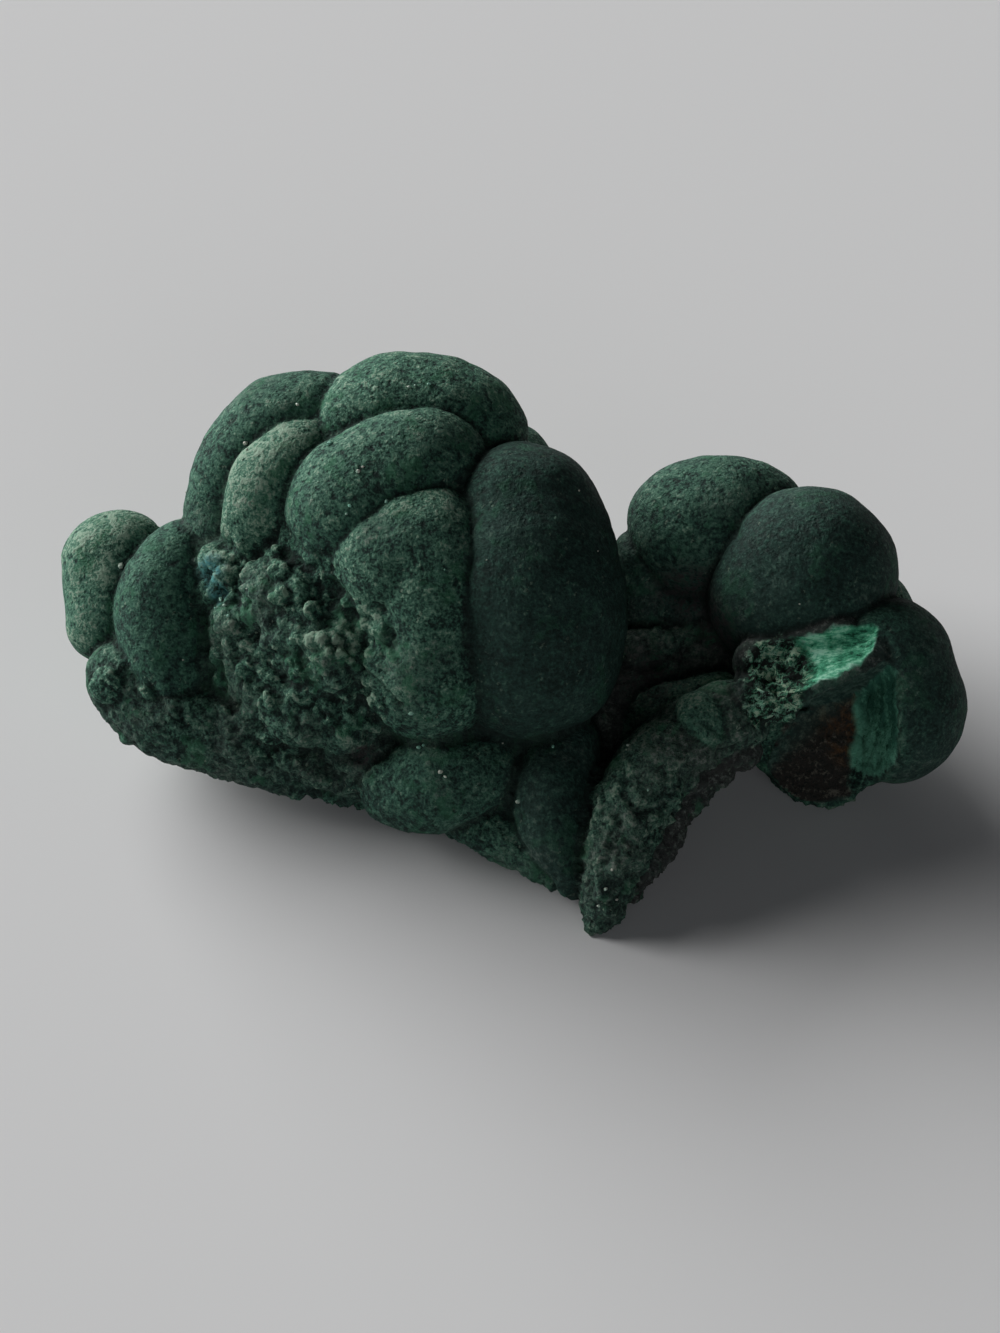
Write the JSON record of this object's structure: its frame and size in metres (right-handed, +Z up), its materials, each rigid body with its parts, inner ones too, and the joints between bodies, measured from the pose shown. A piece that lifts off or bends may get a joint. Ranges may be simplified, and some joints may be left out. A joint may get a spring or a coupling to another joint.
{
  "type": "malachite specimen",
  "caption": "Dark green botryoidal malachite lump with rounded lobes, grape-like bumps, a craggy ridge and a fresh break over a brown hollow.",
  "frame": {"origin": "middle of the footprint, on the surface it rests on", "axes": "+X along the length to the right as seen from the lobed front, +Y to the back, +Z up"},
  "size_m": [0.06, 0.0362, 0.0236],
  "materials": {
    "malachite": "matt, dusty"
  },
  "bodies": {
    "root": {"malachite": "malachite"}
  },
  "joints": []
}
